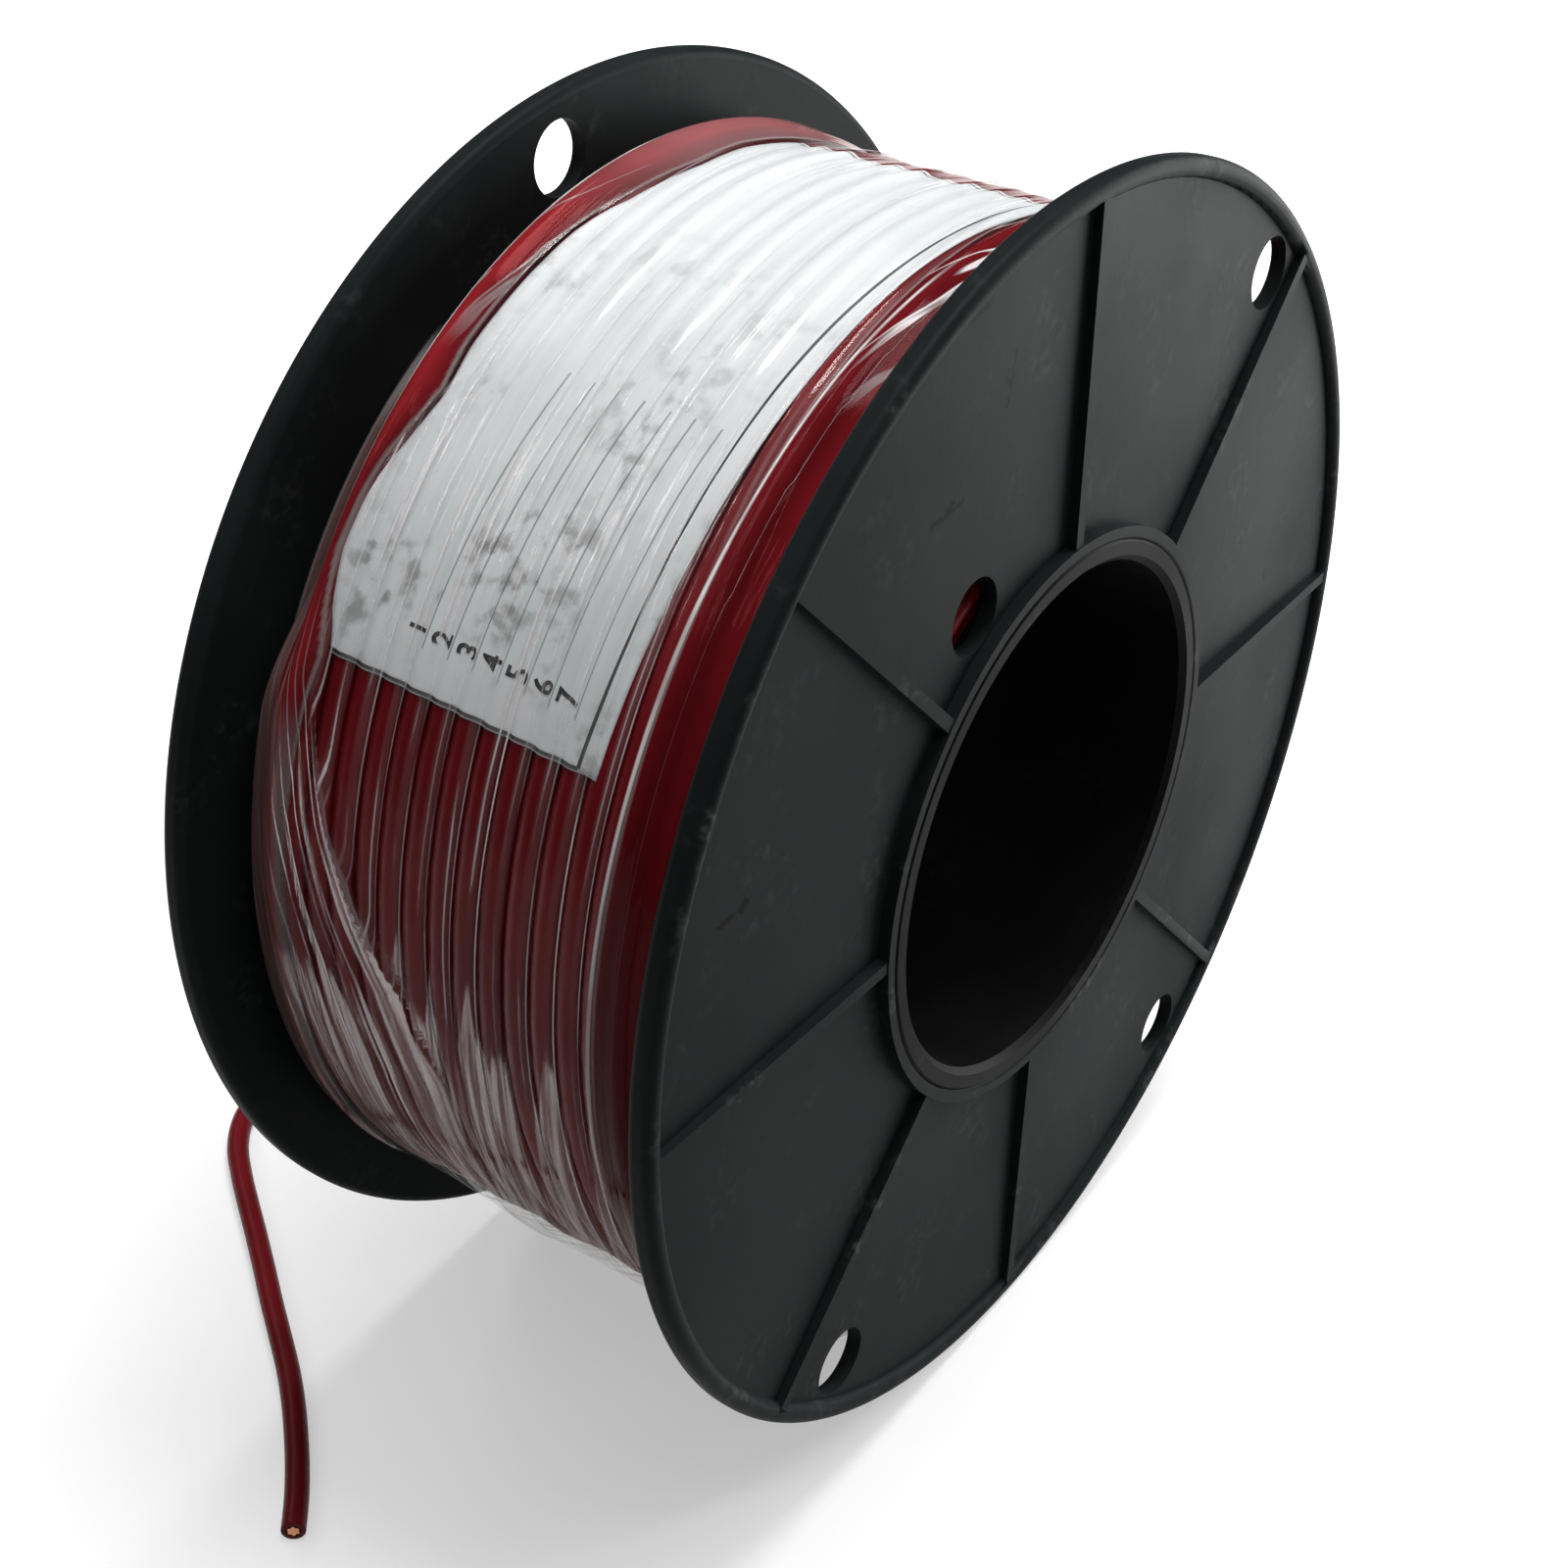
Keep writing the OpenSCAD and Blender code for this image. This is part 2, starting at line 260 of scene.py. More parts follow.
class Shader:
    """A material's node tree, with short calls for the nodes that the materials here share."""

    def __init__(self, name):
        self.material = bpy.data.materials.new(name)
        self.material.use_nodes = True
        self.tree = self.material.node_tree
        self.main = self.tree.nodes["Principled BSDF"]
        self.place = self.tree.nodes.new("ShaderNodeTexCoord").outputs["Object"]

    def feed(self, socket, value):
        if isinstance(value, bpy.types.NodeSocket):
            self.tree.links.new(value, socket)
        else:
            socket.default_value = value

    def set(self, **values):
        for name, value in values.items():
            self.feed(self.main.inputs[name.replace("_", " ").title().replace("Ior", "IOR")], value)

    def math(self, operation, a, b=0.0, clamp=False):
        n = self.tree.nodes.new("ShaderNodeMath")
        n.operation = operation
        n.use_clamp = clamp
        self.feed(n.inputs[0], a)
        self.feed(n.inputs[1], b)
        return n.outputs[0]

    def plus(self, a, b):
        return self.math("ADD", a, b)

    def minus(self, a, b):
        return self.math("SUBTRACT", a, b)

    def times(self, a, b):
        return self.math("MULTIPLY", a, b)

    def share(self, a, b):
        return self.math("DIVIDE", a, b)

    def larger(self, a, b):
        return self.math("MAXIMUM", a, b)

    def apart(self, a, b=0.0):
        """The distance between two values."""
        return self.math("ABSOLUTE", self.minus(a, b))

    def within(self, value, middle, half):
        """1 where a value is closer to a middle than half a width."""
        return self.math("LESS_THAN", self.apart(value, middle), half)

    def ramp(self, value, low, high, out_low=0.0, out_high=1.0):
        n = self.tree.nodes.new("ShaderNodeMapRange")
        n.interpolation_type = "SMOOTHSTEP"
        self.feed(n.inputs["Value"], value)
        ends = {"From Min": low, "From Max": high, "To Min": out_low, "To Max": out_high}
        for name, number in ends.items():
            n.inputs[name].default_value = number
        return n.outputs[0]

    def noise(self, scale, detail=4.0, stretch=(1, 1, 1), place=None):
        vector = place or self.place
        if stretch != (1, 1, 1):
            m = self.tree.nodes.new("ShaderNodeMapping")
            m.inputs["Scale"].default_value = stretch
            self.feed(m.inputs["Vector"], vector)
            vector = m.outputs[0]
        n = self.tree.nodes.new("ShaderNodeTexNoise")
        n.inputs["Scale"].default_value = scale
        n.inputs["Detail"].default_value = detail
        self.feed(n.inputs["Vector"], vector)
        return n.outputs["Fac"]

    def mix(self, factor, a, b):
        n = self.tree.nodes.new("ShaderNodeMix")
        n.data_type = "RGBA"
        self.feed(n.inputs["Factor"], factor)
        colours = [s for s in n.inputs if s.type == "RGBA"]
        for socket, value in zip(colours, (a, b)):
            self.feed(socket, value if isinstance(value, bpy.types.NodeSocket) else (*value, 1.0))
        return next(s for s in n.outputs if s.type == "RGBA")

    def bump(self, height, strength, distance):
        n = self.tree.nodes.new("ShaderNodeBump")
        n.inputs["Strength"].default_value = strength
        n.inputs["Distance"].default_value = distance
        self.feed(n.inputs["Height"], height)
        self.feed(self.main.inputs["Normal"], n.outputs[0])

    def cover(self, amount):
        """Lets what lies behind show, apart from the amount that the material covers."""
        clear = self.tree.nodes.new("ShaderNodeBsdfTransparent")
        blend = self.tree.nodes.new("ShaderNodeMixShader")
        for socket, value in zip(blend.inputs, (amount, clear.outputs[0], self.main.outputs[0])):
            self.feed(socket, value)
        self.feed(self.tree.nodes["Material Output"].inputs["Surface"], blend.outputs[0])

    def axes(self, vector=None):
        n = self.tree.nodes.new("ShaderNodeSeparateXYZ")
        self.feed(n.inputs[0], vector or self.place)
        return n.outputs

    def attribute(self, name):
        n = self.tree.nodes.new("ShaderNodeAttribute")
        n.attribute_name = name
        return n.outputs["Fac"]

    def spread(self, name):
        n = self.tree.nodes.new("ShaderNodeUVMap")
        n.uv_map = name
        return n.outputs[0]

    def point(self, x, y):
        n = self.tree.nodes.new("ShaderNodeCombineXYZ")
        self.feed(n.inputs[0], x)
        self.feed(n.inputs[1], y)
        return n.outputs[0]


# Materials. Noise scales are features a metre; colours and roughness are shares from 0 to 1.

def moulded_plastic(name, dark, pale, scuff):
    """Black moulded plastic: cloudy, finely grained, and rubbed pale on what stands proud."""
    s = Shader(name)
    cloud = s.noise(24, detail=6)
    grain = s.noise(1600, detail=3)
    patches = s.ramp(s.noise(75, detail=8), 0.50, 0.72)
    rub = s.times(patches, s.ramp(s.noise(520, detail=5), 0.45, 0.70))
    proud = s.ramp(s.apart(s.axes()["X"]), RUBBED_FROM, RUBBED_TO)
    worn = s.times(rub, s.ramp(proud, 0, 1, 0.25, 0.9))
    colour = s.mix(s.ramp(cloud, 0.3, 0.7), dark, pale)
    colour = s.mix(worn, colour, scuff)
    scratched = tuple(0.1 * c for c in dark)
    s.set(base_color=s.mix(scratches(s, PANEL_SCRATCHES), colour, scratched))
    s.set(roughness=s.ramp(cloud, 0.3, 0.75, 0.40, 0.55), ior=LOW_IOR)
    s.bump(s.plus(s.noise(150, detail=6), s.times(grain, 0.35)), 0.10, 0.4 * MM)
    return s.material


def scratches(s, places):
    """1 on short ragged scratches of the near side, each given as in PANEL_SCRATCHES."""
    across, up = s.axes()[1:3]
    ragged = s.times(s.minus(s.noise(900, detail=4), 0.5), 2.4 * MM)
    marks = 0.0
    for y, z, slant, length, width in places:
        cosine, sine = math.cos(math.radians(slant)), math.sin(math.radians(slant))
        dy = s.minus(across, y * MM)
        dz = s.minus(up, z * MM)
        run = s.plus(s.times(dy, cosine), s.times(dz, sine))
        off = s.plus(s.minus(s.times(dz, cosine), s.times(dy, sine)), ragged)
        mark = s.times(s.within(off, 0.0, width / 2 * MM), s.within(run, 0.0, length / 2 * MM))
        marks = s.larger(marks, mark)
    return s.times(marks, s.math("GREATER_THAN", s.axes()["X"], 0.0))


def wire_insulation(name):
    """Smooth red insulation, with a faint drift of colour along the wire and fine handling marks."""
    s = Shader(name)
    drift = s.ramp(s.noise(40, detail=3), 0.3, 0.7)
    marks = s.noise(700, detail=4)
    s.set(base_color=s.mix(drift, (0.120, 0.004, 0.007), (0.185, 0.007, 0.012)))
    s.set(roughness=s.ramp(marks, 0.3, 0.7, 0.30, 0.42), specular_ior_level=0.1)
    s.bump(marks, 0.06, 0.2 * MM)
    return s.material


def label_paper(name):
    """White paper, soiled in patches, with a printed frame and a short rule in each row."""
    s = Shader(name)
    across, along = s.axes(s.spread("sheet"))[0:2]
    patch = s.ramp(s.noise(55, detail=3), 0.42, 0.66)
    speck = s.ramp(s.noise(300, detail=7), 0.48, 0.68)
    soil = s.times(s.times(patch, speck), s.ramp(along, 0.1, 0.8, 0.75, 0.15))
    paper = s.mix(s.ramp(s.noise(30), 0.3, 0.7), (0.66, 0.69, 0.70), (0.77, 0.79, 0.80))
    paper = s.mix(soil, paper, (0.15, 0.15, 0.145))
    paper = s.mix(s.times(printed_lines(s, across, along, LABEL_RULES), 0.6), paper, INK)
    paper = s.mix(printed_lines(s, across, along, LABEL_FRAME), paper, INK)
    s.set(base_color=paper, roughness=0.5)
    s.bump(s.noise(260, detail=6), 0.1, 0.4 * MM)
    return s.material


def printed_lines(s, across, along, lines):
    """1 on straight printed lines, each given as in LABEL_FRAME."""
    ink = 0.0
    for axis, at, low, high, half in lines:
        place, run, size = ((across, along, LABEL_W), (along, across, LABEL_L))[axis]
        near = s.within(place, at, half * MM / size)
        ink = s.larger(ink, s.times(near, s.within(run, (low + high) / 2, (high - low) / 2)))
    return ink


def printing_ink(name):
    """Black ink, worn pale in specks."""
    s = Shader(name)
    wear = s.ramp(s.noise(900, detail=4), 0.55, 0.75)
    s.set(base_color=s.mix(wear, INK, (0.16, 0.16, 0.17)), roughness=0.55)
    return s.material


def clear_film(name):
    """Stretch film: clear and glossy, with painted highlights along the turns, and milky where it's loose.
    """
    s = Shader(name)
    fan = s.spread("fan")
    flames = s.noise(1, detail=2, stretch=(10, 230, 1), place=fan)
    wisps = s.noise(1, detail=3, stretch=(24, 900, 1), place=fan)
    threads = s.noise(1, detail=3, stretch=(9, 900, 1), place=s.spread("wrap"))
    veil = s.attribute("veil")
    hung = s.ramp(s.plus(flames, s.times(veil, 0.20)), 0.62, 0.67)
    hung = s.times(hung, s.ramp(veil, 0.02, 0.15))
    streaks = s.times(veil, s.ramp(wisps, 0.52, 0.64, 0.0, 0.22))
    milk_and_glare = s.larger(s.times(hung, s.ramp(wisps, 0.40, 0.60, 0.08, 0.24)), streaks)
    folds = fold_lines(s)
    # The parts below paint highlights in white: crease glare, turn lines, folds, crinkles and glints.
    for part in (s.attribute("haze_and_glare"), turn_lines(s), folds, crinkles(s), glints(s)):
        milk_and_glare = s.larger(milk_and_glare, part)
    tilted = s.times(hung, s.ramp(wisps, 0.40, 0.60, 0.03, 0.15))
    tilted = s.larger(tilted, s.times(folds, 0.25))
    cling = s.times(s.attribute("cling"), s.math("SUBTRACT", 1.0, milk_and_glare, clamp=True))
    milk_and_glare = s.larger(milk_and_glare, s.times(cling, 0.85))
    edge_on = s.tree.nodes.new("ShaderNodeLayerWeight").outputs["Facing"]
    fresnel = s.plus(s.times(s.math("POWER", edge_on, 5.0), 0.95), 0.05)
    mirror = s.plus(s.times(fresnel, s.attribute("gloss")), tilted)
    cover = s.math("ADD", milk_and_glare, mirror, clamp=True)
    s.set(base_color=s.mix(cling, (0.88, 0.82, 0.82), clinging_red(s)), roughness=0.06, ior=LOW_IOR)
    s.set(metallic=s.share(mirror, cover))
    s.bump(s.plus(threads, s.times(flames, 0.8)), 0.30, 0.5 * MM)
    s.cover(cover)
    return s.material


def clinging_red(s):
    """The red of the turns under clinging film: paler to the left as painted light, with painted shade
    across the bands and in the hollow.
    """
    # Painted light: paler to the left, darker to the right.
    red = s.mix(s.ramp(s.axes()["X"], -30 * MM, 30 * MM), (0.33, 0.020, 0.027), (0.20, 0.009, 0.014))
    # Painted shade across each clinging band.
    red = s.mix(s.attribute("shade"), red, (0.030, 0.002, 0.003))
    red = s.mix(s.ramp(s.noise(60, detail=3), 0.4, 0.8, 0.0, 0.5), red, (0.10, 0.005, 0.007))
    # Painted shade: the hollow beside the label is near black.
    return s.mix(s.attribute("hollow"), red, (0.012, 0.008, 0.008))


def turn_lines(s):
    """Painted highlights: the film's glare where it leaves each turn, and painted glare bridging the gap
    between two.
    """
    arc, place = s.axes(s.spread("wrap"))[0:2]
    wound = s.minus(s.share(arc, 2 * math.pi * CREST_R), START_TURN / 360)
    turn = s.plus(s.share(s.minus(place, TURN_X), TURN_PITCH), wound)
    gap = s.math("FLOOR", turn)
    offset = s.times(s.minus(s.math("FRACT", turn), 0.5), TURN_PITCH)
    bridge = s.ramp(s.apart(offset, -0.35 * MM), 0.4 * MM, 0.9 * MM, 1.0, 0.0)
    # Painted glare brightens the gap between two turns.
    milk_and_glare = s.times(bridge, s.attribute("bridge"))
    for side, along, least, most in ((0.62, 17, 0.03, 0.9), (-0.62, 29, 0.0, 0.75)):
        uneven = s.noise(1, detail=3, place=s.point(s.times(arc, along), s.times(gap, side * 9)))
        sway = s.times(s.minus(uneven, 0.5), 1.2 * MM)
        away = s.apart(s.minus(offset, side * MM), sway)
        line = s.ramp(away, 0.04 * MM, 0.26 * MM, 1.0, 0.0)
        by_gap = s.noise(1, detail=0, place=s.point(s.times(gap, 7.3), side * 5))
        line = s.times(line, s.ramp(by_gap, 0.35, 0.6, 0.3, 1.0))
        milk_and_glare = s.larger(milk_and_glare, s.times(line, s.ramp(uneven, 0.42, 0.60, least, most)))
    return s.times(milk_and_glare, s.attribute("lines"))


def fold_lines(s):
    """Painted highlights on the bright edge of the slanting fold, and on the creases that run together
    beside it.
    """
    arc, beside = s.axes(s.spread("fan"))[0:2]
    ply = s.share(beside, FOLD_PLY)
    by_ply = s.times(s.math("FLOOR", ply), 3.7)
    uneven = s.noise(1, detail=2, place=s.point(s.times(arc, 22), by_ply))
    across = s.plus(s.math("FRACT", ply), s.times(s.minus(uneven, 0.5), 0.5))
    crest = s.ramp(s.apart(across, 0.5), 0.02, 0.11, 1.0, 0.0)
    crest = s.times(crest, s.ramp(uneven, 0.40, 0.60, 0.05, 0.65))
    edge = s.ramp(s.apart(beside), 0.08 * MM, 0.40 * MM, 0.85, 0.0)
    return s.times(s.larger(crest, edge), s.attribute("beside"))


def crinkles(s):
    """Fine bright creases in the taut film beside the label, drawn as painted highlights."""
    net = s.noise(1, detail=2, stretch=(20, 240, 1), place=s.spread("slant"))
    ridge = s.ramp(s.apart(net, 0.5), 0.004, 0.028, 0.9, 0.0)
    return s.times(ridge, s.attribute("crinkle"))


def glints(s):
    """Painted highlights: thin bright lines along the film that clings beside the label."""
    arc = s.axes(s.spread("wrap"))[0]
    uneven = s.noise(1, detail=2, place=s.point(s.times(arc, 40), 0.0))
    line = s.ramp(s.apart(s.attribute("off_glint")), 0.08, 0.42, 1.0, 0.0)
    line = s.times(line, s.ramp(uneven, 0.35, 0.55, 0.55, 1.0))
    return s.times(line, s.attribute("glint"))


def bare_copper(name):
    """Cut copper, uneven in tone."""
    s = Shader(name)
    tone = s.noise(900, detail=3)
    s.set(base_color=s.mix(tone, (0.50, 0.20, 0.10), (0.74, 0.36, 0.20)), metallic=1.0)
    s.set(roughness=s.ramp(tone, 0.3, 0.7, 0.28, 0.42))
    return s.material


FLANGE = moulded_plastic("flange_plastic", dark=(0.0108, 0.0129, 0.0134), pale=(0.0155, 0.0183, 0.0188),
                         scuff=(0.09, 0.095, 0.095))
BARREL = moulded_plastic("barrel_plastic", dark=(0.004, 0.004, 0.0042), pale=(0.007, 0.007, 0.0073),
                         scuff=(0.03, 0.03, 0.03))
WIRE = wire_insulation("wire_insulation")
PAPER = label_paper("label_paper")
INK_PRINT = printing_ink("label_ink")
FILM = clear_film("clear_film")
COPPER = bare_copper("conductor_copper")


# The winding's own shape, which the wire, the label and the film all follow

def wander(cycle, waves):
    """How far the winding strays, as the sum of a slow and a quick wave along the wire."""
    return MM * sum(size * np.sin(rate * cycle + start) for size, rate, start in waves)


def turn_centre(turn):
    """Place along X and radius of the wire's middle, at an angle that counts on from turn to turn."""
    t = np.asarray(turn, float)
    cycle = np.radians(t)
    x = TURN_X - (t - START_TURN) / 360 * TURN_PITCH
    x = x + wander(cycle, WANDER_X)
    r = TURN_R + wander(cycle, WANDER_R)
    r = r - NEAR_DROP * soft_step((x - NEAR_DROP_FROM) / NEAR_DROP_OVER)
    r = r + FAR_RISE * soft_step((FAR_RISE_FROM - x) / FAR_RISE_OVER) * soft_step((-60 - t) / 60)
    return x, r - FAR_DROP * soft_step((t + 100) / 60) * soft_step((235 - t) / 50)


def turns_at(angle):
    """Centres of the turns that pass an angle, in order along X."""
    first = math.ceil((START_TURN - angle) / 360)
    last = math.floor((END_TURN - angle) / 360)
    x, r = turn_centre([angle + 360 * k for k in range(first, last + 1)])
    order = np.argsort(x)
    return x[order], r[order]


def wrap_radius(angle, x, lift, sag):
    """Radius of a sheet drawn over the turns: round each crest, and sagging between two of them."""
    turn_x, turn_r = turns_at(angle)
    skin = WOUND_R + lift
    crest = turn_r + skin
    nearest = np.abs(x[:, None] - turn_x[None, :])
    rise = np.sqrt(np.clip(skin ** 2 - nearest ** 2, 0, None))
    touch = np.where(nearest < skin, turn_r[None, :] + rise, 0).max(axis=1)
    k = np.clip(np.searchsorted(turn_x, x) - 1, 0, len(turn_x) - 2)
    share = np.clip((x - turn_x[k]) / (turn_x[k + 1] - turn_x[k]), 0, 1)
    bridge = crest[k] + (crest[k + 1] - crest[k]) * share - 4 * sag * share * (1 - share)
    outside = (x < turn_x[0]) | (x > turn_x[-1])
    return np.where(outside, np.maximum(touch, crest.min() - skin), np.maximum(touch, bridge))


# Wire

def past(end, before):
    """A point one wire's width past the end of a path."""
    return end + (end - before) / np.linalg.norm(end - before) * 2 * WIRE_R


def make_outer_layer():
    """The outer layer of turns, one unbroken tube. Returns its last point."""
    ring_step = 5.0
    turns = np.arange(START_TURN, END_TURN + 0.1, ring_step)
    x, r = turn_centre(turns)
    path = around(turns, r, x)
    path = np.vstack([past(path[0], path[1]), path, past(path[-1], path[-2])])
    vertices, faces = tube(path, [WOUND_R] * len(path), sides=14)
    piece = new_piece("wound_wire", vertices, faces, WIRE)
    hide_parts("wire_outer_layer")
    return path[-1]


def scallops(count, low, high):
    """Places and heights across a row of touching rounds."""
    width = (high - low) / count
    share = np.linspace(-1, 1, 7)[:-1]
    place = [low + width * (i + 0.5 + 0.5 * u) for i in range(count) for u in share]
    rise = [width / 2 * (math.sqrt(1 - u * u) - 1) for _ in range(count) for u in share]
    return place, rise


def make_inner_layers():
    """The layers below, as one ring whose faces show the rounds of the wire."""
    half = TRAVERSE / 2 - LAYERS_GAP
    top = TURN_R - WIRE_R - LAYERS_SUNK
    foot = BARREL_R + LAYERS_GAP
    turns, layers = 18, 9
    place, rise = scallops(turns, -half, half)
    profile = [(x, top + dr) for x, dr in zip(place, rise)]
    place, rise = scallops(layers, foot, top)
    profile += [(half + dx, r) for r, dx in zip(reversed(place), reversed(rise))]
    profile += [(half, foot), (-half, foot)]
    profile += [(-half - dx, r) for r, dx in zip(place, rise)]
    segments = 144
    angles = np.linspace(0, 360, segments, endpoint=False)
    vertices = np.concatenate([around(angles, r, x) for x, r in profile])
    quads = grid_faces(len(profile) + 1, segments, wrap=True)
    faces = [tuple(i % len(vertices) for i in quad) for quad in quads]
    piece = new_piece("wound_layers", vertices, faces, WIRE, smooth_angle=50)
    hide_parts("wire_inner_layers")


def make_tail(start):
    """The free end: smooth, bare at its cut, with the conductor's seat in the cut face."""
    path = smooth_path([start] + [[c * MM for c in p] for p in TAIL_ROUTE], 1.0 * MM)
    tip = path[-1]
    ahead = (path[-1] - path[-2]) / np.linalg.norm(path[-1] - path[-2])
    body = np.vstack([path[:-1], tip - ahead * CUT_EDGE, tip])
    vertices, faces = tube(body, [WIRE_R] * len(path) + [WIRE_R - CUT_EDGE], sides=16)
    piece = new_piece("wire_free_end", vertices, faces, WIRE)
    cut_seat(piece, Vector(tip), Vector(ahead))
    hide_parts("wire_tail")


def cut_seat(piece, tip, ahead):
    """Sinks the cut face round the conductor."""
    def nearness(face):
        """Largest for the face at the tip that looks ahead."""
        return face.normal.dot(ahead) - (face.calc_center_median() - tip).length

    bm = bmesh.new()
    bm.from_mesh(piece.data)
    cut = max(bm.faces, key=nearness)
    bmesh.ops.inset_region(bm, faces=[cut], thickness=WIRE_R - CUT_EDGE - SEAT_R)
    sunk = bmesh.ops.extrude_face_region(bm, geom=[cut])
    for v in [g for g in sunk["geom"] if isinstance(g, bmesh.types.BMVert)]:
        v.co -= ahead * SEAT_DEPTH
    bmesh.ops.delete(bm, geom=[cut], context="FACES_ONLY")
    bm.to_mesh(piece.data)
    bm.free()
    piece.data.set_sharp_from_angle(angle=math.radians(35))


# Label

def label_points(across, along, lift):
    """Points on the label from places in its own plane, measured from its middle."""
    x = LABEL_X + across * math.cos(LABEL_TILT) + along * math.sin(LABEL_TILT)
    arc = along * math.cos(LABEL_TILT) - across * math.sin(LABEL_TILT)
    angle = LABEL_ANGLE + np.degrees(arc / CREST_R)
    at_left = np.clip(1 - (across / LABEL_W + 0.5) / EDGE_SHARE, 0, 1) ** 2
    x = x + at_left * graded(angle, LABEL_EDGE) * MM
    sag = graded(angle, LABEL_SAG) * MM
    radius = [wrap_radius(a, np.array([p]), lift, d)[0] for a, p, d in zip(angle, x, sag)]
    return around(angle, np.array(radius), x)


def label_edges(angles):
    """Places along X of the label's left and right edges."""
    along = np.radians(angles - LABEL_ANGLE) * CREST_R
    middle = LABEL_X + along * math.tan(LABEL_TILT)
    stray = graded(angles, LABEL_EDGE) * MM
    return middle - LABEL_W / 2 + stray, middle + LABEL_W / 2


def make_label():
    """A paper sheet that lies on the turns, tilted."""
    columns, rows = 93, 121
    across = np.linspace(0, 1, columns)
    vertices, coords = [], []
    for along in np.linspace(0, 1, rows):
        level = np.full(columns, (along - 0.5) * LABEL_L)
        vertices.append(label_points((across - 0.5) * LABEL_W, level, LABEL_LIFT))
        coords += [(share, along) for share in across]
    faces = [tuple(reversed(f)) for f in grid_faces(rows, columns, wrap=False)]
    piece = new_piece("paper_label", np.concatenate(vertices), faces, PAPER)
    layer = piece.data.uv_layers.new(name="sheet")
    for loop in piece.data.loops:
        layer.data[loop.index].uv = coords[loop.vertex_index]
    thick = piece.modifiers.new("thickness", "SOLIDIFY")
    thick.thickness = LABEL_T
    thick.offset = -1
    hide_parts("label")


def flat_number(number):
    """A row's number as a flat mesh, upright in X and Y."""
    text = bpy.data.curves.new("row_number", "FONT")
    text.body = str(number)
    text.size = NUMBER_SIZE
    text.offset = NUMBER_WEIGHT
    text.resolution_u = 3
    text.align_y = "CENTER"
    holder = bpy.data.objects.new("row_number", text)
    bpy.context.scene.collection.objects.link(holder)
    shown = holder.evaluated_get(bpy.context.evaluated_depsgraph_get())
    flat = bpy.data.meshes.new_from_object(shown)
    bpy.data.objects.remove(holder)
    return flat


def make_row_numbers():
    """The numbers of the rows, cut into narrow strips and bent on to the label."""
    strip = 0.4 * MM
    bm = bmesh.new()
    for number, row in enumerate(LABEL_ROWS, start=1):
        flat = flat_number(number)
        for v in flat.vertices:
            v.co = ((row - 0.5) * LABEL_W - v.co.y, v.co.x - NUMBER_FOOT, 0)
        bm.from_mesh(flat)
    for cut in np.arange(-LABEL_W / 2, LABEL_W / 2, strip):
        geometry = bm.verts[:] + bm.edges[:] + bm.faces[:]
        bmesh.ops.bisect_plane(bm, geom=geometry, plane_co=(cut, 0, 0), plane_no=(1, 0, 0))
    bm.verts.index_update()
    place = np.array([v.co for v in bm.verts])
    vertices = label_points(place[:, 0], place[:, 1], NUMBER_LIFT)
    faces = [[v.index for v in reversed(f.verts)] for f in bm.faces]
    bm.free()
    piece = new_piece("row_numbers", vertices, faces, INK_PRINT)
    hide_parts("label")


# Film. Its functions take angles above the axle's level, and places along X.

def make_film():
    """Stretch film over the turns and the label: taut at both shoulders, loose and creased below."""
    angles = np.linspace(FILM_SEAM - 360, FILM_SEAM, FILM_COLUMNS + 1)
    x = np.linspace(-FILM_HALF, FILM_HALF, FILM_ROWS)
    bands = film_bands(angles, x)
    radius, haze_and_glare = film_radius(angles, x, bands)
    vertices = np.concatenate([around(angles, radius[i], x[i]) for i in range(FILM_ROWS)])
    faces = grid_faces(FILM_ROWS, FILM_COLUMNS + 1, wrap=False)
    piece = new_piece("film_sleeve", vertices, faces, FILM, smooth_angle=80)
    for name, values in film_looks(angles, x, bands, haze_and_glare).items():
        values = np.broadcast_to(values, radius.shape)
        piece.data.attributes.new(name, "FLOAT", "POINT").data.foreach_set("value", values.ravel())
    spread_film(piece.data, angles, x)
    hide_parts("film_wrap")


def film_radius(angles, x, bands):
    """Radii of the film, and how milky its creases make it, partly as painted highlights."""
    slack = graded(x / MM, FILM_SLACK) * MM
    sags = [slack * share for share in graded(angles, FILM_DRAPE)]
    radius = np.stack([wrap_radius(a % 360, x, FILM_LIFT, sag) for a, sag in zip(angles, sags)], axis=1)
    radius = hang_loose(radius, angles, x)
    haze_and_glare = np.zeros(radius.shape)
    for crease in film_creases():
        ridge = crease_shape(angles, x, crease)
        radius += ridge * crease["height"] * MM
        haze_and_glare = np.maximum(haze_and_glare, ridge * crease["haze_and_glare"])
    far, near = bands[0:2]
    radius += FAR_BULGE * far * bulge(x[:, None], -34 * MM, label_edges(angles)[0][None, :])
    radius += NEAR_BULGE * near * bulge(x[:, None], 25 * MM, 36 * MM)
    radius[:, -1] = radius[:, 0]
    return radius, np.maximum(haze_and_glare, far * graded(angles, [(74, 0), (92, 0.12), (125, 0.12), (150, 0)]))


def hang_loose(radius, angles, x):
    """Lifts loose film to a level above the turns, and higher towards its slanting fold."""
    off_flanges = slice(60, -20)
    level = radius[off_flanges].max(axis=0) + LOOSE_LIFT
    rise = FOLD_RISE * np.clip(1 - (fold_place(angles)[None, :] - x[:, None]) / FOLD_NEAR, 0, 1)
    hung = level[None, :] + rise * (angles < 60)[None, :] * (angles > -70)[None, :]
    lifted = radius + film_tent(angles, x) * (hung - radius)
    return np.where(np.abs(x[:, None]) < TAUT_FROM, lifted, radius)


